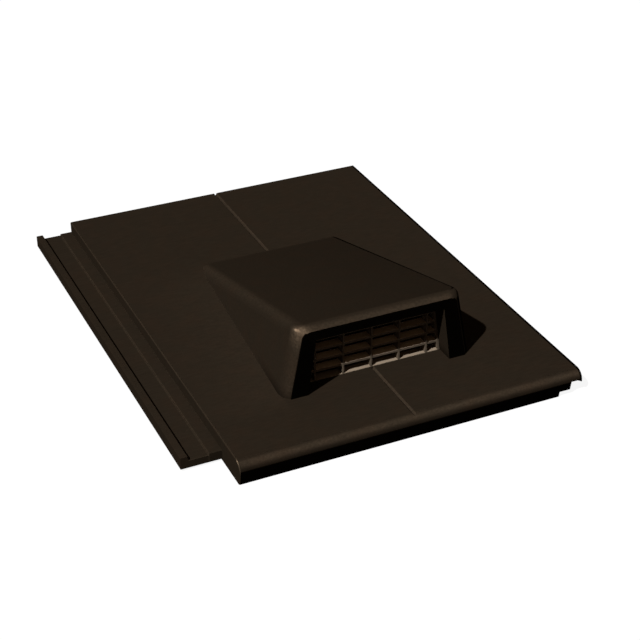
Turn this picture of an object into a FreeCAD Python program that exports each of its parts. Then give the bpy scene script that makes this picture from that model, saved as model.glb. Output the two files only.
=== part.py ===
import FreeCAD, Part
import os
from math import cos, radians, sin, tan

# Roof tile vent: a flat interlocking tile moulded in one piece with its vent hood, and the louvre grille
# that snaps into the mouth of the hood. Millimetres. X runs across the roof, Y up the slope from the tail
# to the head, Z up from the surface that the tile lies on. The origin is under the middle of the plan.

Vector = FreeCAD.Vector

# Tile plan and depth
tile_length = 420.0
tile_width = 330.0
deck_height = 20.0  # deck top above the foot of the tail
wall = 3.0  # moulded wall of deck, hood, locks and skirts
deck_edge_radius = 1.2  # soft side edges of the deck

# Tail nose and skirt
nose_radius = 9.0
tail_undercut = 11.0  # degrees that the tail face leans in under the nose

# Left lock, the channels that lie under the next tile
lock_width = 33.5
lock_setback = 35.0  # from the nose to the front end of the lock
lock_foot = 2.0
lock_rib_width = 6.0
lock_rib_top = 12.5
lock_rib_draft = 0.8
outer_channel_width = 16.0
outer_channel_floor = 8.7
inner_channel_floor = 10.0

# Right overlap, which lies on the lock of the next tile
joint_gap = 5.5  # open joint between the decks of two tiles
overlap_clearance = 0.4
first_step_width = 10.4
second_step_width = 9.7
second_step_foot = 5.0

# False joint down the middle of the visible width
groove_width = 4.6
groove_depth = 2.2
groove_backing_width = 10.0
groove_backing = 2.0

# Hood, a wedge that rises from the deck towards the tail
hood_setback = 61.0  # from the nose to the hood's front face
hood_length = 230.0
hood_rise = 62.5
hood_foot_width = 168.8  # at the front face, on the deck
hood_taper = 0.08  # narrowing of each side per millimetre up the slope
hood_side_lean = 0.194  # leaning in of each side per millimetre of height
hood_edge_radius = 9.0  # round along the roof's front and side edges
hood_cheek_radius = 14.0  # round down the front corners
hood_rim_cut = 2.2  # by which the front face is cut back into those rounds, to a sharp rim
hood_root = 2.0  # depth of the hood's outline within the deck
hood_run_down = 60.0  # how far the outline is drawn below and behind the deck before it is trimmed

# Mouth in the hood's front, a tunnel that holds the grille
mouth_foot_width = 125.2
mouth_height = 48.6
mouth_lean = 0.1445
mouth_wall = 2.0  # wall of the tunnel behind the mouth
pocket_depth = 15.8  # from the hood's front face to the grille
ledge_thickness = 3.0
ledge_width = 2.5
weather_ledge_height = 10.0

# Louvre grille
grille_depth = 9.0
grille_clearance = 0.3
bottom_rail_height = 0.8
stile_width = 2.0  # of the uprights at the ends and of the top rail
mullion_count = 5
mullion_pitch = 24.8
mullion_width = 1.6
slat_count = 4
slat_first_height = 8.1
slat_pitch = 9.6
slat_thickness = 2.0
slat_recess = 0.3  # behind the front of the upright bars
snap_lug_depth = 1.4
snap_lug_length = 4.0
snap_lug_height = 8.0
snap_lug_middle = 22.0  # above the deck
snap_lug_setback = 2.5

# Underside
rib_width = 2.5
rib_foot = 10.0
cross_rib_count = 3
rib_frame_gap = 2.0  # between the hood's foot and the ribs that frame it
head_skirt_foot = 10.0
nib_width = 30.0
nib_thickness = 8.0
nib_setback = 16.0  # from the head edge to the nib's head side
nib_spacing = 130.0

# Places worked out from the sizes above
nose_y = -tile_length / 2
head_y = tile_length / 2
left_x = -tile_width / 2
right_x = tile_width / 2
deck_left = left_x + lock_width
deck_under = deck_height - wall
middle_x = (deck_left - joint_gap + right_x) / 2
lock_front_y = nose_y + lock_setback
hood_front_y = nose_y + hood_setback
hood_back_y = hood_front_y + hood_length
grille_front_y = hood_front_y + pocket_depth
grille_back_y = grille_front_y + grille_depth
tunnel_back_y = grille_back_y + ledge_thickness
lip_foot = inner_channel_floor + overlap_clearance
overlap_rib_foot = outer_channel_floor + overlap_clearance
past = 1.0  # how far a cut runs past the face it opens
touching = 0.01  # distance within which a point lies on an edge


def block(x0, x1, y0, y1, z0, z1):
    """Box between two corners, given axis by axis."""
    return Part.makeBox(x1 - x0, y1 - y0, z1 - z0, Vector(x0, y0, z0))


def polygon(points):
    """Flat face with straight sides through the points."""
    return Part.Face(Part.makePolygon(points + points[:1]))


def fuse(shapes):
    """Shapes joined in one, with faces that lie in one plane merged."""
    return shapes[0].multiFuse(shapes[1:]).removeSplitter()


def edges_through(shape, corners):
    """Edges of a shape that hold the middle of one of the given pairs of corners."""
    middles = [Part.Vertex((a + b) * 0.5) for a, b in corners]

    def chosen(edge):
        return any(edge.distToShape(middle)[0] < touching for middle in middles)

    return [edge for edge in shape.Edges if chosen(edge)]


def edges_in_plane(shape, plane):
    """Edges of a shape that lie in a plane, which is a normal and a point."""
    normal, point = plane

    def lies(edge):
        middle = edge.valueAt((edge.FirstParameter + edge.LastParameter) / 2)
        places = [vertex.Point for vertex in edge.Vertexes] + [middle]
        return all(abs((place - point).dot(normal)) < touching for place in places)

    return [edge for edge in shape.Edges if lies(edge)]


# Tile deck, skirts and locks


def tail_curve(inset):
    """Points down the nose and tail face, moved into the wall by inset: deck, arc middle, arc end, foot."""
    centre_y = nose_y + nose_radius
    centre_z = deck_height - nose_radius
    radius = nose_radius - inset
    undercut = radians(tail_undercut)
    half_turn = (radians(90) - undercut) / 2
    deck_point = Vector(0, centre_y, centre_z + radius)
    arc_middle = Vector(0, centre_y - radius * cos(half_turn), centre_z + radius * sin(half_turn))
    arc_end = Vector(0, centre_y - radius * cos(undercut), centre_z - radius * sin(undercut))
    foot = Vector(0, arc_end.y + arc_end.z * tan(undercut), 0)
    return deck_point, arc_middle, arc_end, foot


def run(*points):
    """Straight edges from each point to the next."""
    return [Part.makeLine(a, b) for a, b in zip(points, points[1:])]


def deck_shell():
    """Deck plate with its nose, tail skirt and head skirt, one section drawn across the tile."""
    outer = tail_curve(0)
    inner = tail_curve(wall)
    head_outline = [
        inner[0],
        Vector(0, head_y - wall, deck_under),
        Vector(0, head_y - wall, head_skirt_foot),
        Vector(0, head_y, head_skirt_foot),
        Vector(0, head_y, deck_height),
        outer[0],
    ]
    edges = [Part.Arc(*outer[:3]).toShape()]
    edges += run(outer[2], outer[3], inner[3], inner[2])
    edges += [Part.Arc(inner[2], inner[1], inner[0]).toShape()]
    edges += run(*head_outline)
    section = Part.Face(Part.Wire(edges))
    section.translate(Vector(deck_left, 0, 0))
    return section.extrude(Vector(right_x - deck_left, 0, 0))


def side_plate(x, foot, end_y):
    """Upright wall across the tail zone that follows the nose and ends on the foot height."""
    deck_point, arc_middle, arc_end, tail_foot = tail_curve(0)
    edges = [Part.Arc(deck_point, arc_middle, arc_end).toShape()]
    edges += run(arc_end, tail_foot, Vector(0, end_y, 0), Vector(0, end_y, deck_height), deck_point)
    plate = Part.Face(Part.Wire(edges)).extrude(Vector(wall, 0, 0))
    plate.translate(Vector(x, 0, 0))
    return plate.cut(block(x - past, x + wall + past, nose_y - past, end_y + past, -past, foot))


def lock():
    """Left lock: outer rib, two water channels and the deck's side wall, closed at the front end."""
    rib_foot_x = left_x + lock_rib_width + lock_rib_draft
    step_x = rib_foot_x + outer_channel_width
    top = [
        Vector(left_x, 0, lock_foot),
        Vector(left_x, 0, lock_rib_top),
        Vector(left_x + lock_rib_width, 0, lock_rib_top),
        Vector(rib_foot_x, 0, outer_channel_floor),
        Vector(step_x, 0, outer_channel_floor),
        Vector(step_x, 0, inner_channel_floor),
        Vector(deck_left, 0, inner_channel_floor),
    ]
    floor_under = outer_channel_floor - wall
    wall_inside = deck_left + wall
    section = top + [
        Vector(deck_left, 0, deck_under),
        Vector(wall_inside, 0, deck_under),
        Vector(wall_inside, 0, floor_under),
        Vector(left_x + wall, 0, floor_under),
        Vector(left_x + wall, 0, lock_foot),
    ]
    channel = polygon(section).extrude(Vector(0, head_y - lock_front_y, 0))
    end_wall = polygon(top + [Vector(deck_left, 0, lock_foot)]).extrude(Vector(0, wall, 0))
    pieces = [channel, end_wall]
    for piece in pieces:
        piece.translate(Vector(0, lock_front_y, 0))
    return fuse(pieces)


def overlap():
    """Right edge wall and the rib that hangs in the next tile's outer channel."""
    edge_wall = side_plate(right_x - wall, lip_foot, head_y)
    rib_x = right_x - first_step_width - wall
    rib = block(rib_x, rib_x + wall, nose_y + nose_radius, head_y - wall, overlap_rib_foot, deck_under)
    return fuse([edge_wall, rib])


def tail_steps():
    """Steps cut from the right end of the tail skirt and the short walls that close them behind."""
    first_x = right_x - first_step_width
    second_x = first_x - second_step_width
    skirt_end_y = nose_y + nose_radius + wall
    cuts = [
        block(first_x, right_x + past, nose_y - past, skirt_end_y, -past, lip_foot),
        block(second_x, first_x + past, nose_y - past, skirt_end_y, -past, second_step_foot),
    ]
    walls = [
        side_plate(first_x - wall, second_step_foot, lock_front_y),
        side_plate(second_x - wall, 0, lock_front_y),
    ]
    return cuts, walls


def tile_base():
    """Tile without its hood: deck, skirts, steps, overlap and lock."""
    shell = deck_shell()
    left_wall = side_plate(deck_left, 0, lock_front_y + wall)
    cuts, walls = tail_steps()
    stepped = shell.cut(cuts[0].fuse(cuts[1]))
    base = fuse([stepped, left_wall] + walls + [overlap()])
    nose_end_y = nose_y + nose_radius
    side_edges = []
    for x in (deck_left, right_x):
        side_edges.append((Vector(x, nose_end_y, deck_height), Vector(x, head_y, deck_height)))
    softened = base.makeFillet(deck_edge_radius, edges_through(base, side_edges))
    return fuse([softened, lock()])


# Hood and mouth


def three_planes_meet(first, second, third):
    """Corner where three planes, each a normal and a point, cross."""
    normals = [first[0], second[0], third[0]]
    reach = [normal.dot(point) for normal, point in (first, second, third)]
    crossed = [normals[1].cross(normals[2]), normals[2].cross(normals[0]), normals[0].cross(normals[1])]
    total = crossed[0] * reach[0] + crossed[1] * reach[1] + crossed[2] * reach[2]
    return total * (1 / normals[0].dot(crossed[0]))


def hood_wedge(inset, foot):
    """Hood outline moved into its wall by inset, run down to foot, rounded and then cut flat in front."""

    def moved(normal, point):
        unit = Vector(normal).normalize()
        return unit, point - unit * inset

    front_foot = Vector(middle_x, hood_front_y, deck_height)
    half_foot = Vector(hood_foot_width / 2, 0, 0)
    front = moved(Vector(0, -1, 0), front_foot - Vector(0, hood_rim_cut, 0))
    roof = moved(Vector(0, hood_rise, hood_length), front_foot + Vector(0, hood_length, 0))
    left = moved(Vector(-1, hood_taper, hood_side_lean), front_foot - half_foot)
    right = moved(Vector(1, hood_taper, hood_side_lean), front_foot + half_foot)
    base = (Vector(0, 0, -1), Vector(0, 0, deck_height - hood_run_down))
    back = (Vector(0, 1, 0), Vector(0, hood_back_y + hood_run_down, 0))

    def ring(plane):
        return [
            three_planes_meet(plane, base, left),
            three_planes_meet(plane, base, right),
            three_planes_meet(plane, roof, right),
            three_planes_meet(plane, roof, left),
        ]

    near = ring(front)
    far = ring(back)
    sides = [polygon([near[i - 1], near[i], far[i], far[i - 1]]) for i in range(4)]
    wedge = Part.Solid(Part.Shell([polygon(near), polygon(far)] + sides))
    cheek_edges = edges_through(wedge, [(near[0], near[3]), (near[1], near[2])])
    wedge = wedge.makeFillet(hood_cheek_radius - inset, cheek_edges)
    back_edge = edges_through(wedge, [(far[2], far[3])])[0]
    roof_edges = [edge for edge in edges_in_plane(wedge, roof) if not edge.isSame(back_edge)]
    wedge = wedge.makeFillet(hood_edge_radius - inset, roof_edges)
    reach = tile_length + hood_run_down
    return wedge.common(block(-reach, reach, hood_front_y + inset, reach, foot, reach))


def mouth_prism(grow, y0, y1, foot, sill=0.0):
    """Mouth outline made larger by grow on its sides and top, drawn from y0 to y1 above foot."""
    top = deck_height + mouth_height + grow
    half = mouth_foot_width / 2 + grow

    def half_at(z):
        return half - mouth_lean * (z - deck_height)

    floor = foot + sill
    outline = [
        Vector(middle_x - half_at(floor), y0, floor),
        Vector(middle_x + half_at(floor), y0, floor),
        Vector(middle_x + half_at(top), y0, top),
        Vector(middle_x - half_at(top), y0, top),
    ]
    return polygon(outline).extrude(Vector(0, y1 - y0, 0))


def snap_lug(side, reach, clearance):
    """Lug on one stile of the grille, or with a clearance the window for it in the cheek of the mouth."""
    stile_x = mouth_foot_width / 2 - mouth_lean * snap_lug_middle
    x0 = middle_x + side * (stile_x - stile_width)
    x1 = middle_x + side * (stile_x + reach)
    y0 = grille_front_y + snap_lug_setback - clearance
    z0 = deck_height + snap_lug_middle - snap_lug_height / 2 - clearance
    y1 = y0 + snap_lug_length + 2 * clearance
    z1 = z0 + snap_lug_height + 2 * clearance
    return block(min(x0, x1), max(x0, x1), y0, y1, z0, z1)


def hollow_hood(base):
    """Hood raised on the tile, hollowed from below round the mouth tunnel."""
    outside = hood_wedge(0, deck_height - hood_root)
    inside = hood_wedge(wall, -past)
    tunnel_walls = mouth_prism(mouth_wall, hood_front_y, tunnel_back_y, -past)
    cavity = inside.cut(tunnel_walls)
    tunnel = mouth_prism(0, hood_front_y - past, grille_back_y, deck_height)
    aperture_y = (grille_back_y - past, tunnel_back_y + past)
    aperture = mouth_prism(-ledge_width, *aperture_y, deck_height, weather_ledge_height)
    windows = [snap_lug(side, mouth_wall + past, grille_clearance) for side in (-1, 1)]
    return base.fuse(outside).cut(fuse([cavity, tunnel, aperture] + windows))


def groove(y0, y1):
    """Cutter of the false joint between two places on the slope."""
    outline = [
        Vector(middle_x - groove_width / 2, y0, deck_height),
        Vector(middle_x, y0, deck_height - groove_depth),
        Vector(middle_x + groove_width / 2, y0, deck_height),
    ]
    return polygon(outline).extrude(Vector(0, y1 - y0, 0))


# Underside


def underside_ribs():
    """Ribs that frame the hood, cross ribs, backing of the false joint and batten nibs."""
    frame_half = hood_foot_width / 2 + rib_frame_gap
    frame_left = middle_x - frame_half
    frame_right = middle_x + frame_half
    frame_front = hood_front_y - rib_frame_gap
    frame_back = hood_back_y + rib_frame_gap
    rib_start = frame_front - rib_width
    inner_left = deck_left + wall
    inner_right = right_x - first_step_width - wall
    skirt_y = nose_y + nose_radius
    skirt_head = head_y - wall
    ribs = [
        block(frame_left - rib_width, frame_left, rib_start, skirt_head, rib_foot, deck_under),
        block(frame_right, frame_right + rib_width, rib_start, skirt_head, rib_foot, deck_under),
        block(inner_left, inner_right, rib_start, frame_front, rib_foot, deck_under),
        block(inner_left, inner_right, frame_back, frame_back + rib_width, rib_foot, deck_under),
    ]
    spacing = (frame_back - frame_front) / (cross_rib_count + 1)
    for number in range(1, cross_rib_count + 1):
        y = frame_front + number * spacing
        ribs.append(block(inner_left, frame_left, y, y + rib_width, rib_foot, deck_under))
        ribs.append(block(frame_right, inner_right, y, y + rib_width, rib_foot, deck_under))
    backing_left = middle_x - groove_backing_width / 2
    backing_right = middle_x + groove_backing_width / 2
    backing_foot = deck_under - groove_backing
    ribs.append(block(backing_left, backing_right, skirt_y, tunnel_back_y, backing_foot, deck_under))
    ribs.append(block(backing_left, backing_right, frame_back, skirt_head, backing_foot, deck_under))
    nib_head = head_y - nib_setback
    nib_tail = nib_head - nib_thickness
    for side in (-1, 1):
        nib_left = middle_x + side * nib_spacing / 2 - nib_width / 2
        ribs.append(block(nib_left, nib_left + nib_width, nib_tail, nib_head, 0, deck_under))
    return ribs


def vent_tile():
    """The whole moulding: tile, hood, underside and false joint."""
    hooded = hollow_hood(tile_base())
    whole = fuse([hooded] + underside_ribs())
    grooves = [
        groove(nose_y - past, grille_front_y),
        groove(hood_back_y, head_y + past),
    ]
    return whole.cut(grooves[0].fuse(grooves[1]))


# Louvre grille


def louvre_grille():
    """Frame with upright bars and level slats, standing on the deck against the ledge of the mouth."""
    outline = mouth_prism(-grille_clearance, grille_front_y, grille_back_y, deck_height)
    stile = grille_clearance + stile_width
    opening_y = (grille_front_y - past, grille_back_y + past)
    opening = mouth_prism(-stile, *opening_y, deck_height, bottom_rail_height)
    frame = outline.cut(opening)
    pieces = [frame]
    for number in range(mullion_count):
        x = middle_x + (number - (mullion_count - 1) / 2) * mullion_pitch
        left = x - mullion_width / 2
        top = deck_height + mouth_height
        bar = block(left, left + mullion_width, grille_front_y, grille_back_y, deck_height, top)
        pieces.append(bar.common(outline))
    slat_front_y = grille_front_y + slat_recess
    slat_left = middle_x - mouth_foot_width / 2
    slat_right = middle_x + mouth_foot_width / 2
    for number in range(slat_count):
        z = deck_height + slat_first_height + number * slat_pitch
        slat = block(slat_left, slat_right, slat_front_y, grille_back_y, z, z + slat_thickness)
        pieces.append(slat.common(outline))
    for side in (-1, 1):
        pieces.append(snap_lug(side, snap_lug_depth, 0))
    return fuse(pieces)


os.makedirs("parts", exist_ok=True)
for name, shape in (("vent_tile", vent_tile()), ("louvre_grille", louvre_grille())):
    shape.exportStep(f"parts/{name}.step")
    box = shape.BoundBox
    print(name, "valid", shape.isValid(), "solids", len(shape.Solids), "volume", round(shape.Volume))
    print("  box", [round(v, 2) for v in (box.XMin, box.XMax, box.YMin, box.YMax, box.ZMin, box.ZMax)])
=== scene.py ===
"""Roof tile vent: a flat interlocking tile moulded with its vent hood, and the louvre grille in its mouth.

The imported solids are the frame. Each moulding is shown as a copy of its solid with the mould edges broken,
in a procedural plastic. Metres, in the solids' own frame: X across the roof, Y up the slope, Z out of it.
"""
import logging
from dataclasses import dataclass
from enum import Enum
from functools import reduce
from math import radians

import bmesh
import bpy
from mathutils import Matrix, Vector


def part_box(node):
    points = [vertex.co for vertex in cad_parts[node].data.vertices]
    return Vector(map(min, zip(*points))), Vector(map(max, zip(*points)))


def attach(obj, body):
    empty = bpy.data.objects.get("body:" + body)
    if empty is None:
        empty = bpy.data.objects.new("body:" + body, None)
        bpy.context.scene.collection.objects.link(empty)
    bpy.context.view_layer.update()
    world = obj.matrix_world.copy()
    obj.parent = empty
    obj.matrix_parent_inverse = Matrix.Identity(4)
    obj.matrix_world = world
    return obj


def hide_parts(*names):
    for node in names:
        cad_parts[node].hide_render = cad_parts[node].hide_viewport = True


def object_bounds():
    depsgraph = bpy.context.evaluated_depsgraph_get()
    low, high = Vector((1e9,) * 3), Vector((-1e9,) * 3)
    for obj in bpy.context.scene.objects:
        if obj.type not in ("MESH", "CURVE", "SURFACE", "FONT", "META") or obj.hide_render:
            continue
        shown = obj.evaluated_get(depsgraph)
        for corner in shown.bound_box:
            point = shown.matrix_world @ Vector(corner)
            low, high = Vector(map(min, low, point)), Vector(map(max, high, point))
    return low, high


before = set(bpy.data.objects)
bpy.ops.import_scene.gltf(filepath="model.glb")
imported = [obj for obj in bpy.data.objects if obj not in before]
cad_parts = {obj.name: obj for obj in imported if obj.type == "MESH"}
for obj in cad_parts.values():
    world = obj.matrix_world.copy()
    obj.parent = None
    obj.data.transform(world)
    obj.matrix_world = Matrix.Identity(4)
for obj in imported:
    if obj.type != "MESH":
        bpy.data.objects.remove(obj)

Socket = bpy.types.NodeSocket
Colour = tuple[float, float, float, float]
Point = tuple[float, float, float]
Pair = tuple[float, float]
Span = Pair

CAD_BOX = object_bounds()
BODY = "root"
MM = 0.001
WHITE = (1.0, 1.0, 1.0, 1.0)
BLACK = (0.0, 0.0, 0.0, 1.0)
NOISE_SPAN = (0.3, 0.7)
LOG = logging.getLogger("roof_tile_vent")


class Moulding(Enum):
    """The two mouldings, by the name of their solid."""

    TILE = "vent_tile"
    GRILLE = "louvre_grille"


class Slot(Enum):
    """Material slots of the part's record."""

    TILE = "tile_plastic"
    GRILLE = "grille_plastic"


class Ray(Enum):
    """Kinds of ray that see the backdrop white."""

    CAMERA = "Is Camera Ray"
    GLOSSY = "Is Glossy Ray"
    TRANSMISSION = "Is Transmission Ray"


class Way(Enum):
    """Directions on the part."""

    RIGHT = (1.0, 0.0, 0.0)
    LEFT = (-1.0, 0.0, 0.0)
    TO_HEAD = (0.0, 1.0, 0.0)
    TO_TAIL = (0.0, -1.0, 0.0)
    OUT = (0.0, 0.0, 1.0)


class Side(Enum):
    """The hood's two roof edges, by the sign of the way to them from its middle."""

    LEFT = -1.0
    RIGHT = 1.0


def linear(red: float, green: float, blue: float) -> Colour:
    """Turn a display colour into the linear colour that a shader takes, by the sRGB curve.

    Args:
        red: Red on the display, from 0 to 255.
        green: Green on the display, from 0 to 255.
        blue: Blue on the display, from 0 to 255.

    Returns:
        The linear colour with a full alpha.
    """
    shares = (value / 255 for value in (red, green, blue))
    levels = [share / 12.92 if share <= 0.04045 else ((share + 0.055) / 1.055) ** 2.4 for share in shares]
    return (*levels, 1.0)


def grey(level: float) -> Colour:
    """Give a linear grey with a full alpha."""
    return (level, level, level, 1.0)


class NodeBench:
    """Lays the nodes of one material or world and wires them."""

    def __init__(self, tree: bpy.types.NodeTree) -> None:
        """Empty the tree, so that only the nodes laid here are in it."""
        self.tree = tree
        tree.nodes.clear()

    def lay(self, kind: str, settings: dict | None = None, **inputs: object) -> bpy.types.Node:
        """Lay one node.

        Args:
            kind: The node's type.
            settings: The node's own properties.
            inputs: Values or sockets for its inputs, by name with underscores for blanks, or by
                number as in0.

        Returns:
            The new node.
        """
        node = self.tree.nodes.new(kind)
        for name, value in (settings or {}).items():
            setattr(node, name, value)
        for name, value in inputs.items():
            key = int(name[2:]) if name[:2] == "in" and name[2:].isdigit() else name.replace("_", " ")
            self.feed(node.inputs[key], value)
        return node

    def feed(self, socket: Socket, value: object) -> None:
        """Wire a socket to an input, or set the input's own value.

        Args:
            socket: The input.
            value: The socket that feeds it, or its own value.
        """
        if isinstance(value, Socket):
            self.tree.links.new(value, socket)
        else:
            socket.default_value = value

    def math(self, operation: str, *values: object) -> Socket:
        """Lay a Math node and give its result."""
        inputs = {f"in{number}": value for number, value in enumerate(values)}
        return self.lay("ShaderNodeMath", {"operation": operation}, **inputs).outputs[0]

    def product(self, *factors: object) -> Socket:
        """Multiply values in a row."""
        return reduce(lambda first, second: self.math("MULTIPLY", first, second), factors)

    def total(self, *terms: object) -> Socket:
        """Add up values in a row."""
        return reduce(lambda first, second: self.math("ADD", first, second), terms)

    def less(self, share: Socket, amount: float = 1.0) -> Socket:
        """Give what is left of 1 where a share of an amount is taken off."""
        return self.math("MULTIPLY_ADD", share, -amount, 1.0)

    def vector(self, operation: str, first: Socket, second: Point) -> Socket:
        """Lay a Vector Math node that gives a number."""
        settings = {"operation": operation}
        return self.lay("ShaderNodeVectorMath", settings, in0=first, in1=second).outputs["Value"]

    def along(self, vector: Socket, way: Way) -> Socket:
        """Give how far a place or a direction reaches one way."""
        return self.vector("DOT_PRODUCT", vector, way.value)

    def ramp(self, value: Socket, ends: Span, levels: tuple[object, object] = (0.0, 1.0)) -> Socket:
        """Lay a clamped Map Range node from two ends of a value to two levels, and give its result."""
        inputs = {f"in{number}": given for number, given in enumerate((value, *ends, *levels))}
        return self.lay("ShaderNodeMapRange", {"clamp": True}, **inputs).outputs[0]

    def spread(self, noise: Socket, share: float) -> Socket:
        """Turn a noise into a level that swings about 1 by a share."""
        return self.ramp(noise, NOISE_SPAN, (1 - share, 1 + share))

    def blend(self, share: Socket, first: Socket, second: Socket) -> Socket:
        """Lay a Mix node for two numbers and give its result."""
        return self.lay("ShaderNodeMix", in0=share, in2=first, in3=second).outputs[0]

    def tint(self, share: object, first: object, second: object, blend: str = "MIX") -> Socket:
        """Lay a Mix node for two colours and give its result."""
        settings = {"data_type": "RGBA", "blend_type": blend}
        return self.lay("ShaderNodeMix", settings, in0=share, in6=first, in7=second).outputs[2]

    def noise(self, place: Socket, scale: float, detail: float, rough: float = 0.5) -> Socket:
        """Lay a Noise Texture node and give its factor."""
        inputs = {"Vector": place, "Scale": scale, "Detail": detail, "Roughness": rough}
        return self.lay("ShaderNodeTexNoise", **inputs).outputs[0]

    def stretched(self, place: Socket, turn: float, stretch: Point) -> Socket:
        """Lay a Mapping node that turns a pattern about the upright and stretches it."""
        inputs = {"Vector": place, "Rotation": (0.0, 0.0, turn), "Scale": stretch}
        return self.lay("ShaderNodeMapping", **inputs).outputs[0]

    def seen_white(self) -> Socket:
        """Lay the test for rays that see the backdrop.

        Returns:
            1 for the kinds of ray that see the backdrop white, and 0 for the rest.
        """
        path = self.lay("ShaderNodeLightPath")
        kinds = [path.outputs[ray.value] for ray in Ray]
        return reduce(lambda first, second: self.math("MAXIMUM", first, second), kinds)

    def show(self, shader: bpy.types.Node) -> None:
        """Wire a shader to the material's output."""
        self.lay("ShaderNodeOutputMaterial", Surface=shader.outputs[0])


def new_material(name: str) -> tuple[bpy.types.Material, NodeBench]:
    """Make a material without nodes.

    Args:
        name: The material's name.

    Returns:
        The material and the bench that lays its nodes.
    """
    material = bpy.data.materials.new(name)
    material.use_nodes = True
    return material, NodeBench(material.node_tree)


@dataclass(frozen=True)
class MouldGrain:
    """Fine grain that the mould leaves on a plastic."""

    pitch: float
    depth: float
    detail: float
    rough: float = 0.5
    gloss_span: Span = (0.25, 0.75)
    gloss_swing: Span = (-0.05, 0.07)

    def noise(self, bench: NodeBench, place: Socket) -> Socket:
        """Lay the grain's noise."""
        return bench.noise(place, 1 / self.pitch, self.detail, self.rough)

    def roughness(self, bench: NodeBench, grain: Socket, middle: float) -> Socket:
        """Lay a roughness that swings about its middle with the grain."""
        low, high = self.gloss_swing
        return bench.ramp(grain, self.gloss_span, (middle + low, middle + high))

    def relief(self, bench: NodeBench, grain: Socket) -> Socket:
        """Lay the grain's bumps."""
        height = bench.product(grain, self.depth)
        return bench.lay("ShaderNodeBump", Strength=1.0, Distance=1.0, Height=height).outputs[0]


@dataclass(frozen=True)
class Surface:
    """A point of the tile's surface, as its finish sees it."""

    bench: NodeBench
    place: Socket
    facing: Socket
    above_deck: Socket
    grain: Socket

    def lies(self, way: Way) -> Socket:
        """Lay how far the point lies one way from the part's origin."""
        return self.bench.along(self.place, way)

    def looks(self, way: Way) -> Socket:
        """Lay how straight the surface looks one way, up to 1."""
        return self.bench.along(self.facing, way)

    def aside(self, line: float) -> Socket:
        """Lay how far across the roof the point lies from a line up the slope."""
        return self.bench.math("ABSOLUTE", self.bench.math("SUBTRACT", self.lies(Way.RIGHT), line))

    def beyond(self, plane: Point, offset: float) -> Socket:
        """Lay how far the point lies beyond a plane."""
        return self.bench.total(self.bench.vector("DOT_PRODUCT", self.place, plane), offset)


@dataclass(frozen=True)
class PaintedHighlight:
    """Painted highlight: a paler tone of the rounded edges that look one way."""

    facing: Point
    looks: Span
    curve: float
    amount: float

    def share(self, point: Surface) -> Socket:
        """Lay the painted highlight's share for a surface's direction, up to its amount.

        Args:
            point: The point of the surface.

        Returns:
            The share.
        """
        bench = point.bench
        near = bench.ramp(bench.vector("DOT_PRODUCT", point.facing, self.facing), self.looks)
        return bench.product(bench.math("POWER", near, self.curve), self.amount)


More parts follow.
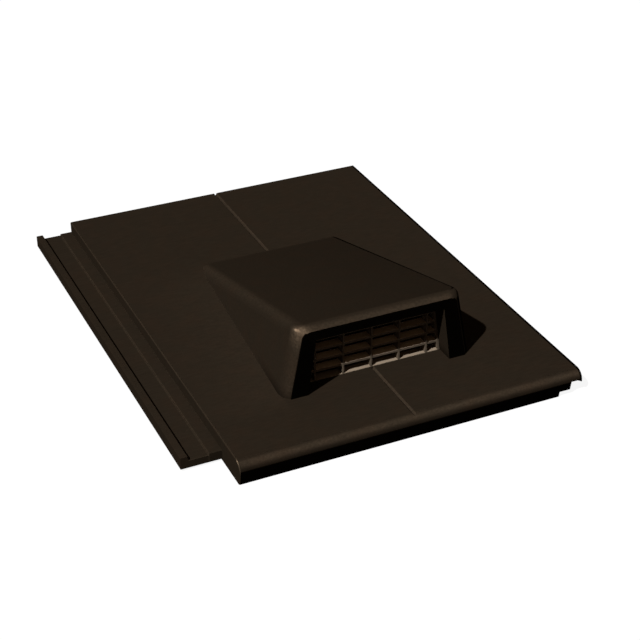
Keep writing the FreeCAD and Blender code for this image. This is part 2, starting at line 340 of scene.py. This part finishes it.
@dataclass(frozen=True)
class PaintedLight:
    """Painted light on the tile: highlights on its rounds and along the roof, and bounced light on the deck
    by the hood.

    A span holds the two ends between which a mark comes in or goes out.
    """

    hood_starts: Span = (0.2 * MM, 1.0 * MM)
    speckle: float = 0.4
    # Painted highlights on the rounds that look to the tail, on the lock's edges and at the hood's left
    # front corner.
    tail: PaintedHighlight = PaintedHighlight((-0.45, -0.609, 0.653), (0.7055, 0.985), 2.0, 1.95)
    tail_on_hood: float = 0.77
    lock: PaintedHighlight = PaintedHighlight((-0.69, 0.0, 0.724), (0.95, 1.0), 1.0, 0.85)
    corner: PaintedHighlight = PaintedHighlight((-0.6, -0.38, 0.704), (0.955, 0.998), 1.6, 7.0)

    # Painted highlights on the groove's wall and the deck's edge, and along the lock.
    groove_middle: float = 14.0 * MM
    groove_sides: Span = (3.0 * MM, 5.0 * MM)
    deck_edge_share: float = 0.25
    lock_line: float = -142.2 * MM
    lock_line_sides: Span = (0.4 * MM, 0.9 * MM)
    lock_line_amount: float = 0.5

    # Painted bounced light on the deck along the foot of the hood's left wall.
    foot_plane: Point = (-1.0, 0.08, 0.0)
    foot_offset: float = -58.48 * MM
    foot_starts: Span = (-4.0 * MM, -1.0 * MM)
    foot_reach: Span = (75.0 * MM, 0.0)
    foot_tail_end: Span = (-165.0 * MM, -140.0 * MM)
    foot_head_end: Span = (90.0 * MM, 40.0 * MM)
    foot_curve: float = 1.3
    foot_amount: float = 0.22

    # Painted highlight along the roof's left edge.
    band_plane: Point = (1.0, 0.24435, 1.0)
    band_offset: float = 12.21 * MM
    band_rises: Span = (-5.0 * MM, 3.2 * MM)
    band_falls: Span = (6.8 * MM, 10.4 * MM)
    band_amount: float = 0.375

    # Painted highlight round the hood's left front corner.
    spot_middle: Point = (-55.0 * MM, -147.0 * MM, 75.0 * MM)
    spot_reach: Span = (17.0 * MM, 3.0 * MM)
    spot_curve: float = 1.8
    spot_turns: Span = (-0.05, 0.3)
    spot_ends: Span = (0.9, 0.97)
    spot_amount: float = 1.6

    def level(self, point: Surface) -> Socket:
        """Lay all the painted light, speckled by the grain.

        Args:
            point: The point of the surface.

        Returns:
            The level of the surface, 1 where there is no mark.
        """
        bench = point.bench
        on_hood = bench.ramp(point.above_deck, self.hood_starts)
        tail = bench.product(self.tail.share(point), bench.less(on_hood, 1 - self.tail_on_hood))
        deck = bench.total(self.edge_highlights(point), self.hood_foot(point))
        on_deck = bench.product(deck, bench.less(on_hood))
        band = bench.product(self.roof_band(point), on_hood)
        marks = bench.total(tail, on_deck, band, self.corner.share(point), self.corner_spot(point))
        return bench.math("MULTIPLY_ADD", marks, bench.spread(point.grain, self.speckle), 1.0)

    def edge_highlights(self, point: Surface) -> Socket:
        """Lay the painted highlights on the groove's wall and the deck's edge, and a painted highlight along
        the lock.

        Args:
            point: The point of the surface.

        Returns:
            What the marks add.
        """
        bench = point.bench
        kept = bench.ramp(point.aside(self.groove_middle), self.groove_sides, (1.0, self.deck_edge_share))
        edges = bench.product(self.lock.share(point), kept)
        line = bench.ramp(point.aside(self.lock_line), self.lock_line_sides, (self.lock_line_amount, 0.0))
        return bench.total(edges, line)

    def hood_foot(self, point: Surface) -> Socket:
        """Lay painted bounced light on the deck along the foot of the hood's left wall.

        Args:
            point: The point of the surface.

        Returns:
            What the foot adds to the deck.
        """
        bench = point.bench
        away = point.beyond(self.foot_plane, self.foot_offset)
        near = bench.math("POWER", bench.ramp(away, self.foot_reach), self.foot_curve)
        up_slope = point.lies(Way.TO_HEAD)
        past_tail_end = bench.ramp(up_slope, self.foot_tail_end)
        before_head_end = bench.ramp(up_slope, self.foot_head_end)
        outside = bench.ramp(away, self.foot_starts)
        return bench.product(near, outside, past_tail_end, before_head_end, self.foot_amount)

    def roof_band(self, point: Surface) -> Socket:
        """Lay the painted highlight along the roof's left edge, by the way round the edge from wall to roof.

        Args:
            point: The point of the surface.

        Returns:
            What the band adds.
        """
        bench = point.bench
        around = point.beyond(self.band_plane, self.band_offset)
        rising = bench.ramp(around, self.band_rises, (0.0, self.band_amount))
        return bench.product(rising, bench.ramp(around, self.band_falls, (1.0, 0.0)))

    def corner_spot(self, point: Surface) -> Socket:
        """Lay the painted highlight round the hood's left front corner, on the rounds that turn to the tail.

        Args:
            point: The point of the surface.

        Returns:
            What the spot adds.
        """
        bench = point.bench
        away = bench.vector("DISTANCE", point.place, self.spot_middle)
        near = bench.math("POWER", bench.ramp(away, self.spot_reach), self.spot_curve)
        to_tail = point.looks(Way.TO_TAIL)
        turned = bench.ramp(to_tail, self.spot_turns)
        before_front = bench.ramp(to_tail, self.spot_ends, (1.0, 0.0))
        return bench.product(near, self.spot_amount, turned, before_front)


@dataclass(frozen=True)
class PaintedShade:
    """Painted shade on the tile: front faces, edges that turn right, and the foot of the hood's left wall.

    A span holds the two ends between which a mark comes in or goes out.
    """

    front_on_hood: Span = (0.0, 0.5 * MM)
    front_below_nose: Span = (-6.9 * MM, -8.1 * MM)
    front_off_lock: Span = (-131.5 * MM, -130.5 * MM)
    front_looks: Span = (0.9, 0.98)
    front_level: float = 0.06

    lee_turns: Span = (0.02, 0.17)
    lee_level: float = 0.05
    lee_brow: Span = (-0.12, 0.0)
    lee_brow_ends: Span = (0.5, 0.72)
    lee_wall: Span = (0.85, 0.96)
    deck_edge: Span = (161.9 * MM, 162.5 * MM)
    deck_edge_level: float = 0.08

    foot_forward: Span = (-75.0 * MM, -130.0 * MM)
    foot_height: Span = (9.0 * MM, 1.0 * MM)
    foot_on_hood: Span = (0.0, 0.3 * MM)
    foot_looks: Span = (0.3, 0.7)
    foot_amount: float = 0.45

    def level(self, point: Surface) -> Socket:
        """Lay all the painted shade.

        Args:
            point: The point of the surface.

        Returns:
            The level that is left of the plain colour.
        """
        return point.bench.product(self.front(point), self.lee(point), self.wall_foot(point))

    def front(self, point: Surface) -> Socket:
        """Lay painted shade on the faces that look to the tail, on the hood and below the nose.

        Args:
            point: The point of the surface.

        Returns:
            The level that is left of the plain colour.
        """
        bench = point.bench
        on_hood = bench.ramp(point.above_deck, self.front_on_hood)
        below_nose = bench.ramp(point.above_deck, self.front_below_nose)
        zone = bench.math("MAXIMUM", on_hood, below_nose)
        off_lock = bench.ramp(point.lies(Way.RIGHT), self.front_off_lock)
        to_front = bench.ramp(point.looks(Way.TO_TAIL), self.front_looks)
        return bench.less(bench.product(zone, off_lock, to_front), 1 - self.front_level)

    def lee(self, point: Surface) -> Socket:
        """Lay painted shade on the rounded edges that turn to the right, away from the key light.

        Args:
            point: The point of the surface.

        Returns:
            The level that is left of the plain colour.
        """
        bench = point.bench
        to_right = point.looks(Way.RIGHT)
        turned = bench.ramp(to_right, self.lee_turns, (1.0, self.lee_level))
        on_brow = bench.ramp(point.looks(Way.TO_TAIL), self.lee_brow)
        lit = bench.product(on_brow, bench.ramp(to_right, self.lee_brow_ends, (1.0, 0.0)))
        edge = bench.math("MAXIMUM", turned, lit)
        strip = bench.ramp(point.lies(Way.RIGHT), self.deck_edge, (1.0, self.deck_edge_level))
        return bench.math("MAXIMUM", bench.product(edge, strip), bench.ramp(to_right, self.lee_wall))

    def wall_foot(self, point: Surface) -> Socket:
        """Lay painted shade at the front foot of the hood's left wall.

        Args:
            point: The point of the surface.

        Returns:
            The level that is left of the plain colour.
        """
        bench = point.bench
        forward = bench.ramp(point.lies(Way.TO_HEAD), self.foot_forward)
        low = bench.ramp(point.above_deck, self.foot_height)
        on_hood = bench.ramp(point.above_deck, self.foot_on_hood)
        to_left = bench.ramp(point.looks(Way.LEFT), self.foot_looks)
        return bench.less(bench.product(forward, low, on_hood, to_left), self.foot_amount)


@dataclass(frozen=True)
class TilePlastic:
    """Dark brown plastic: streaked grain on the deck, and a fine moulded grain on the hood.

    Painted highlights make the rounds that look out over the tail and the lock side paler, and painted shade
    makes the front faces near black.
    """

    deck_height: float
    colour: Colour = linear(41.2, 34.4, 26.8)
    warm: Colour = linear(42.8, 34.6, 26.6)
    blotch_scale: float = 60.0
    blotch_detail: float = 3.0
    blotch_span: Span = (0.42, 0.68)
    roughness: float = 0.5
    metallic: float = 0.03
    grain: MouldGrain = MouldGrain(1.9 * MM, 0.05 * MM, 2.0, 0.55)
    grain_share: float = 0.08
    streak_pitch: float = 1.8 * MM
    streak_stretch: float = 6.0
    streak_turn: float = radians(-24)
    streak_detail: float = 3.0
    streak_rough: float = 0.6
    streak_share: float = 0.09
    hood_starts: Span = (0.2 * MM, 1.0 * MM)
    hood_level: float = 1.06
    roof_looks: Span = (0.1, 0.25)
    roof_span: Span = (-45.0 * MM, 80.0 * MM)
    roof_levels: Pair = (0.9, 0.74)
    painted_light: PaintedLight = PaintedLight()
    dark: PaintedShade = PaintedShade()

    def make(self) -> bpy.types.Material:
        """Make the material.

        Returns:
            The material.
        """
        material, bench = new_material("tile_plastic_dressed")
        where = bench.lay("ShaderNodeTexCoord")
        place = where.outputs["Object"]
        above_deck = bench.math("SUBTRACT", bench.along(place, Way.OUT), self.deck_height)
        grain = self.grain.noise(bench, place)
        point = Surface(bench, place, where.outputs["Normal"], above_deck, grain)
        level = bench.product(self.pattern(point), self.painted_light.level(point), self.dark.level(point))
        blotches = bench.noise(place, self.blotch_scale, self.blotch_detail)
        tone = bench.tint(bench.ramp(blotches, self.blotch_span), self.colour, self.warm)
        shader = bench.lay(
            "ShaderNodeBsdfPrincipled", Base_Color=bench.tint(1.0, tone, level, "MULTIPLY"),
            Roughness=self.grain.roughness(bench, grain, self.roughness), Metallic=self.metallic,
            Specular_IOR_Level=0.0, Specular_Tint=BLACK, Normal=self.grain.relief(bench, grain),
        )
        bench.show(shader)
        return material

    def pattern(self, point: Surface) -> Socket:
        """Lay the grain and streaks of the moulded surface, with painted light and shade by direction.

        Args:
            point: The point of the surface.

        Returns:
            The level of the surface, about 1 on the deck.
        """
        bench = point.bench
        drawn_out = bench.stretched(point.place, self.streak_turn, (1.0, self.streak_stretch, 1.0))
        scale = 1 / (self.streak_pitch * self.streak_stretch)
        streaks = bench.noise(drawn_out, scale, self.streak_detail, self.streak_rough)
        # Painted light and shade: the hood's walls a little lighter than the deck, the roof, which looks up
        # the slope, darker, and darker towards the right.
        roof = bench.ramp(point.lies(Way.RIGHT), self.roof_span, self.roof_levels)
        shade = bench.ramp(point.looks(Way.TO_HEAD), self.roof_looks, (self.hood_level, roof))
        hood = bench.product(bench.spread(point.grain, self.grain_share), shade)
        on_hood = bench.ramp(point.above_deck, self.hood_starts)
        return bench.blend(on_hood, bench.spread(streaks, self.streak_share), hood)


@dataclass(frozen=True)
class GrillePlastic:
    """Warm grey-beige satin plastic with a faint moulded grain, with painted shade on its upright faces and
    painted light on the ledges above the rail.
    """

    foot: float
    colour: Colour = linear(147, 131, 113)
    roughness: float = 0.5
    specular: float = 0.02
    grain: MouldGrain = MouldGrain(0.9 * MM, 0.02 * MM, 3.0)
    grain_share: float = 0.05
    cloud_scale: float = 60.0
    cloud_detail: float = 2.0
    cloud_share: float = 0.06
    upright_painted_shade: float = 0.42
    looks_up: Span = (0.2, 1.0)
    above_rail: Span = (7.0 * MM, 9.0 * MM)
    ledge_painted_light: float = 2.2

    def make(self) -> bpy.types.Material:
        """Make the material.

        Returns:
            The material.
        """
        material, bench = new_material("grille_plastic_dressed")
        where = bench.lay("ShaderNodeTexCoord")
        place = where.outputs["Object"]
        grain = self.grain.noise(bench, place)
        clouds = bench.noise(place, self.cloud_scale, self.cloud_detail)
        height = bench.math("SUBTRACT", bench.along(place, Way.OUT), self.foot)
        # Painted light on the ledges above the rail, which lie in shade under the hood, and painted shade on
        # the upright faces.
        ledge_light = bench.ramp(height, self.above_rail, (1.0, self.ledge_painted_light))
        upwards = bench.along(where.outputs["Normal"], Way.OUT)
        level = bench.product(
            bench.spread(grain, self.grain_share), bench.spread(clouds, self.cloud_share),
            bench.ramp(upwards, self.looks_up, (self.upright_painted_shade, ledge_light)),
        )
        shader = bench.lay(
            "ShaderNodeBsdfPrincipled", Base_Color=bench.tint(1.0, self.colour, level, "MULTIPLY"),
            Roughness=self.grain.roughness(bench, grain, self.roughness),
            Specular_IOR_Level=self.specular, Normal=self.grain.relief(bench, grain),
        )
        bench.show(shader)
        return material


@dataclass
class MouldedPiece:
    """One moulding, shown as its solid with the outer mould edges broken."""

    moulding: Moulding
    slot: Slot
    name: str
    edge_radius: float
    edge_segments: int = 2
    sharp_from: float = radians(38)
    valley_from: float = radians(12)
    flat_within: float = radians(0.4)
    weld: float = 0.001 * MM
    least_edge: float = 1.0 * MM

    def build(self) -> bpy.types.Object:
        """Build the piece in place of its solid.

        Returns:
            The piece's object.
        """
        shell = self.copy_solid()
        self.refine(shell)
        broken = self.break_edges(shell)
        self.keep_in_box(shell)
        self.mark_creases(shell)
        piece = self.show(shell)
        LOG.info("%s: %d faces, %d mould edges broken", self.name, len(piece.data.polygons), broken)
        return piece

    def copy_solid(self) -> bmesh.types.BMesh:
        """Copy the solid's mesh, with its triangles merged and its flat faces whole.

        Returns:
            The copy.
        """
        shell = bmesh.new()
        shell.from_mesh(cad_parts[self.moulding.value].data)
        bmesh.ops.remove_doubles(shell, verts=shell.verts, dist=self.weld)
        bmesh.ops.dissolve_limit(shell, angle_limit=self.flat_within, verts=shell.verts, edges=shell.edges)
        return shell

    def refine(self, shell: bmesh.types.BMesh) -> None:
        """Leave the moulding's outline as the solid has it."""

    def break_edges(self, shell: bmesh.types.BMesh) -> int:
        """Break the sharp outer edges.

        Args:
            shell: The piece's mesh.

        Returns:
            The number of edges broken.
        """
        edges = [edge for edge in shell.edges if self.is_mould_edge(edge)]
        bmesh.ops.bevel(
            shell, geom=edges, offset=self.edge_radius, offset_type="OFFSET", affect="EDGES",
            segments=self.edge_segments, profile=0.5, material=-1, clamp_overlap=False,
        )
        return len(edges)

    def keep_in_box(self, shell: bmesh.types.BMesh) -> None:
        """Bring points that lie past the solids' box back to it.

        Args:
            shell: The piece's mesh.
        """
        low, high = CAD_BOX
        for vert in shell.verts:
            vert.co = [min(max(value, least), most) for value, least, most in zip(vert.co, low, high)]

    def mark_creases(self, shell: bmesh.types.BMesh) -> None:
        """Shade the faces smooth, apart from the edges that show.

        Args:
            shell: The piece's mesh.
        """
        for face in shell.faces:
            face.smooth = True
        for edge in shell.edges:
            edge.smooth = not self.is_crease(edge)

    def show(self, shell: bmesh.types.BMesh) -> bpy.types.Object:
        """Make the piece's object on the part's body, in place of the solid.

        Args:
            shell: The piece's mesh, which is freed.

        Returns:
            The object.
        """
        mesh = bpy.data.meshes.new(self.name)
        shell.to_mesh(mesh)
        shell.free()
        piece = bpy.data.objects.new(self.name, mesh)
        bpy.context.scene.collection.objects.link(piece)
        evened = piece.modifiers.new("even_shading", "WEIGHTED_NORMAL")
        evened.keep_sharp = True
        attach(piece, BODY)
        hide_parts(self.moulding.value)
        return piece

    def is_crease(self, edge: bmesh.types.BMEdge) -> bool:
        """Tell whether two faces meet at an edge that shows, rather than as strips of one round."""
        angle = edge.calc_face_angle(0.0)
        return angle > (self.sharp_from if edge.is_convex else self.valley_from)

    def is_mould_edge(self, edge: bmesh.types.BMEdge) -> bool:
        """Tell whether an edge is a sharp outer one, long enough to be broken."""
        is_outer = edge.is_convex and edge.calc_length() >= self.least_edge
        return is_outer and edge.calc_face_angle(0.0) > self.sharp_from

    def dress(self, piece: bpy.types.Object, material: bpy.types.Material) -> None:
        """Give the piece its finish."""
        piece.data.materials.clear()
        piece.data.materials.append(material)


@dataclass
class TileMoulding(MouldedPiece):
    """The tile with its hood, with a tighter nose, groove and roof edges than the solid's.

    The hood's right side also runs further out at the back. A roof edge's front and back are the sharp
    corners that its round replaces, measured across from the hood's middle.
    """

    deck_height: float = 0.0
    solid_nose_radius: float = 9.0 * MM
    nose_radius: float = 6.5 * MM
    on_nose: float = 0.02 * MM
    groove_middle: float = 14.0 * MM
    groove_reach: float = 2.75 * MM
    groove_depth: float = 2.5 * MM
    groove_share: float = 0.65
    groove_shift: float = 0.9 * MM

    hood_middle: float = 14.0 * MM
    roof_front: Point = (72.3 * MM, -149.0 * MM, 82.5 * MM)
    roof_back: Point = (66.0 * MM, 81.0 * MM, 20.0 * MM)
    back_end_from: Point = (70.0 * MM, 50.0 * MM, 16.5 * MM)
    back_end_to: Point = (85.0 * MM, 82.0 * MM, 20.5 * MM)
    back_end_out: float = 6.5 * MM

    drawn_in: float = 4.5 * MM
    reach_in: float = 14.0 * MM
    reach_down: float = 18.0 * MM
    front_slack: float = 0.01
    front_looks: float = -0.9
    wall_facing: Pair = (0.982, 0.19)
    least_facing: float = 0.05
    run_out_height: float = 12.0 * MM
    rim_share: float = 0.35
    rim_ease: float = 9.0 * MM
    corner_length: float = 24.0 * MM
    corner_end: float = 0.95
    corner_fade: float = 2.5

    def refine(self, shell: bmesh.types.BMesh) -> None:
        """Draw the hood, the groove and the nose as the real tile has them.

        Args:
            shell: The tile's mesh.
        """
        self.widen_back(shell)
        self.draw_roof_edge(shell, Side.RIGHT)
        self.cut_behind_corners(shell)
        self.draw_roof_edge(shell, Side.LEFT)
        self.draw_groove(shell)
        self.draw_nose(shell)

    def widen_back(self, shell: bmesh.types.BMesh) -> None:
        """Move the right back end of the hood out along the deck, which turns the right roof edge with it.

        Args:
            shell: The tile's mesh.
        """
        for vert in shell.verts:
            bounds = zip(self.back_end_from, vert.co, self.back_end_to)
            if all(low < value < high for low, value, high in bounds):
                vert.co.x += self.back_end_out * self.up_roof(vert.co)

    def up_roof(self, place: Vector) -> float:
        """Give the share of the roof's length at which a point lies, from front to back."""
        return (place.y - self.roof_front[1]) / (self.roof_back[1] - self.roof_front[1])

    def cut_behind_corners(self, shell: bmesh.types.BMesh) -> None:
        """Cut the faces across behind the front corners, so that one can be drawn without its roof edge.

        Args:
            shell: The tile's mesh.
        """
        parts = [*shell.verts, *shell.edges, *shell.faces]
        place = (0.0, self.roof_front[1] + self.corner_length, 0.0)
        bmesh.ops.bisect_plane(
            shell, geom=parts, dist=self.weld, plane_co=place, plane_no=Way.TO_HEAD.value,
        )

    def draw_roof_edge(self, shell: bmesh.types.BMesh, side: Side) -> None:
        """Draw one of the hood's roof edges tighter.

        Args:
            shell: The tile's mesh.
            side: The edge: the right one along its whole length, or the left one's front corner.
        """
        shell.normal_update()
        moves = [(vert, self.roof_edge_move(vert, side)) for vert in shell.verts]
        for vert, move in moves:
            vert.co += move

    def roof_edge_move(self, vert: bmesh.types.BMVert, side: Side) -> Vector:
        """Give the way that a point of one of the hood's roof edges moves out.

        Args:
            vert: A point of the tile's mesh.
            side: The roof edge.

        Returns:
            The move, which is nothing for a point that is not on the outside of the roof edge.
        """
        outsides = [face.normal for face in vert.link_faces if face.normal.y > self.front_looks]
        facing = sum(outsides, Vector()).xz
        wall = Vector((side.value * self.wall_facing[0], self.wall_facing[1]))
        bisector = (wall + Vector((0.0, 1.0))) / (1 + self.wall_facing[1])
        looks_out = facing.length >= self.least_facing and facing.dot(bisector) > 0.0
        if not looks_out or not self.is_near_edge(vert.co, side):
            return Vector((0.0, 0.0, 0.0))
        move = (bisector - facing.normalized()) * self.drawn_in_at(vert.co, side)
        return Vector((move.x, 0.0, move.y))

    def is_near_edge(self, place: Vector, side: Side) -> bool:
        """Tell whether a point lies in the reach of a roof edge.

        Args:
            place: The point's place.
            side: The roof edge.

        Returns:
            Whether the edge's round may hold it.
        """
        along = self.up_roof(place)
        edge = Vector(self.roof_front).lerp(Vector(self.roof_back), along)
        inward = edge.x - side.value * (place.x - self.hood_middle)
        on_hood = along >= -self.front_slack and place.z >= self.deck_height
        return on_hood and inward <= self.reach_in and edge.z - place.z <= self.reach_down

    def drawn_in_at(self, place: Vector, side: Side) -> float:
        """Give the amount by which a roof edge's radius is drawn in at a point.

        Args:
            place: The point's place.
            side: The roof edge.

        Returns:
            The amount, which eases out towards the deck and the rim, and behind the left corner.
        """
        behind_rim = place.y - self.roof_front[1]
        amount = self.drawn_in * min(1.0, (place.z - self.deck_height) / self.run_out_height)
        amount *= min(1.0, self.rim_share + behind_rim / self.rim_ease)
        if side is Side.LEFT:
            before_end = self.corner_end - behind_rim / self.corner_length
            amount *= min(1.0, max(0.0, before_end * self.corner_fade))
        return amount

    def draw_groove(self, shell: bmesh.types.BMesh) -> None:
        """Draw the groove narrower and a little to the right.

        Args:
            shell: The tile's mesh.
        """
        for vert in shell.verts:
            aside = vert.co.x - self.groove_middle
            if abs(aside) < self.groove_reach and vert.co.z > self.deck_height - self.groove_depth:
                vert.co.x = self.groove_middle + self.groove_shift + aside * self.groove_share

    def draw_nose(self, shell: bmesh.types.BMesh) -> None:
        """Draw the nose to its tighter round.

        Args:
            shell: The tile's mesh.
        """
        nose_y = CAD_BOX[0].y
        solid_middle = Vector((nose_y + self.solid_nose_radius, self.deck_height - self.solid_nose_radius))
        middle = Vector((nose_y + self.nose_radius, self.deck_height - self.nose_radius))
        for vert in shell.verts:
            spoke = Vector(vert.co.yz) - solid_middle
            if spoke.x < self.on_nose and abs(spoke.length - self.solid_nose_radius) < self.on_nose:
                vert.co.yz = middle + spoke.normalized() * self.nose_radius


@dataclass(frozen=True)
class FloorFinish:
    """Plain white floor: white to the camera with a light shadow, dim to light that bounces to the part."""

    glow: float = 0.9
    shadow_level: float = 0.12
    bounce: float = 0.08

    def make(self) -> bpy.types.Material:
        """Make the material.

        Returns:
            The material.
        """
        material, bench = new_material("floor_white")
        seen = bench.seen_white()
        glow = bench.lay("ShaderNodeEmission", Color=WHITE, Strength=self.glow)
        paper = bench.lay("ShaderNodeBsdfDiffuse", Color=grey(self.shadow_level))
        shown = bench.lay("ShaderNodeAddShader", in0=glow.outputs[0], in1=paper.outputs[0])
        dim = bench.lay("ShaderNodeBsdfDiffuse", Color=grey(self.bounce))
        both = bench.lay("ShaderNodeMixShader", in0=seen, in1=dim.outputs[0], in2=shown.outputs[0])
        bench.show(both)
        return material


@dataclass(frozen=True)
class ShadeSheetFinish:
    """Painted shade: a dark sheet under the hood, for the shade that shows between the slats."""

    colour: Colour = (0.004, 0.003, 0.002, 1.0)

    def make(self) -> bpy.types.Material:
        """Make the material.

        Returns:
            The material.
        """
        material, bench = new_material("painted_shade_sheet")
        bench.show(bench.lay("ShaderNodeBsdfDiffuse", Color=self.colour))
        return material


@dataclass(frozen=True)
class Sheet:
    """A level sheet of the stage, centred under the part."""

    name: str
    half: Pair
    height: float

    def lay(self, material: bpy.types.Material) -> None:
        """Lay the sheet.

        Args:
            material: Its finish.
        """
        sheet = bmesh.new()
        bmesh.ops.create_grid(sheet, x_segments=1, y_segments=1, size=1.0)
        bmesh.ops.scale(sheet, vec=(*self.half, 1.0), verts=sheet.verts)
        bmesh.ops.translate(sheet, vec=(0.0, 0.0, self.height), verts=sheet.verts)
        mesh = bpy.data.meshes.new(self.name)
        sheet.to_mesh(mesh)
        sheet.free()
        mesh.materials.append(material)
        holder = bpy.data.objects.new(self.name, mesh)
        bpy.context.scene.collection.objects.link(holder)


@dataclass(frozen=True)
class Lamp:
    """A distant lamp: the way its light travels, its strength, and how wide it looks from the part."""

    name: str
    travel: Point
    strength: float
    angle: float

    def hang(self) -> None:
        """Hang the lamp."""
        lamp = bpy.data.lights.new(self.name, "SUN")
        lamp.energy = self.strength
        lamp.angle = self.angle
        holder = bpy.data.objects.new(self.name, lamp)
        holder.rotation_mode = "QUATERNION"
        holder.rotation_quaternion = Vector(self.travel).to_track_quat("-Z", "Y")
        bpy.context.scene.collection.objects.link(holder)


@dataclass(frozen=True)
class Studio:
    """White floor, a sheet of painted shade under the hood, a key light from the left, a low rim light and a
    weak warm fill.
    """

    floor_half: float = 12.0
    void_margin: float = 40.0 * MM
    shade_sheet_lift: float = 0.2 * MM
    key: Lamp = Lamp("key", (0.576, 0.3141, -0.7547), 3.75, radians(1.0))
    rim: Lamp = Lamp("rim", (-0.757, -0.652, -0.04), 0.2, radians(12))
    fill: float = 0.08
    fill_colour: Colour = (1.0, 0.7, 0.45, 1.0)

    def build(self) -> None:
        """Build the floor, the sheet of painted shade under the hood, the lamps and the world."""
        low, high = CAD_BOX
        Sheet("floor", (self.floor_half, self.floor_half), low.z).lay(FloorFinish().make())
        # Painted shade: a dark sheet under the hood, so that the floor's white does not show between the
        # slats.
        half = (high.x - self.void_margin, high.y - self.void_margin)
        Sheet("shade_sheet_under_hood", half, low.z + self.shade_sheet_lift).lay(ShadeSheetFinish().make())
        self.key.hang()
        self.rim.hang()
        self.light_world()
        LOG.info("studio: floor, dark void under the hood, key light, rim light and fill")

    def light_world(self) -> None:
        """Make the world white to look at and a weak fill to light with."""
        world = bpy.data.worlds.new("studio_world")
        bpy.context.scene.world = world
        world.use_nodes = True
        bench = NodeBench(world.node_tree)
        seen = bench.seen_white()
        dim = bench.lay("ShaderNodeBackground", Color=self.fill_colour, Strength=self.fill)
        white = bench.lay("ShaderNodeBackground", Color=WHITE, Strength=1.0)
        both = bench.lay("ShaderNodeMixShader", in0=seen, in1=dim.outputs[0], in2=white.outputs[0])
        bench.lay("ShaderNodeOutputWorld", Surface=both.outputs[0])


@dataclass(frozen=True)
class PhotoCamera:
    """The camera, where it stood for the photograph."""

    place: Point = (-456.03 * MM, -1050.84 * MM, 688.0 * MM)
    pitch_down: float = radians(31.2008)
    heading: float = radians(24.8379)
    focal_pixels: float = 1530.845
    image_width: float = 640.0
    sensor: float = 36.0

    def build(self) -> None:
        """Place the camera and make it the scene's."""
        lens = bpy.data.cameras.new("camera")
        lens.sensor_width = self.sensor
        lens.lens = self.focal_pixels * self.sensor / self.image_width
        camera = bpy.data.objects.new("camera", lens)
        camera.location = self.place
        camera.rotation_euler = (radians(90) - self.pitch_down, 0.0, -self.heading)
        bpy.context.scene.collection.objects.link(camera)
        bpy.context.scene.camera = camera


def main() -> None:
    """Build the mouldings, the studio and the camera."""
    logging.basicConfig(level=logging.INFO)
    bpy.context.scene.view_settings.view_transform = "Standard"
    deck_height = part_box(Moulding.GRILLE.value)[0].z
    tile = TileMoulding(
        Moulding.TILE, Slot.TILE, "tile_with_hood", edge_radius=0.35 * MM, deck_height=deck_height,
    )
    tile.dress(tile.build(), TilePlastic(deck_height).make())
    grille = MouldedPiece(Moulding.GRILLE, Slot.GRILLE, "louvre_insert", edge_radius=0.18 * MM)
    grille.dress(grille.build(), GrillePlastic(deck_height).make())
    Studio().build()
    PhotoCamera().build()


if __name__ == "__main__":
    main()
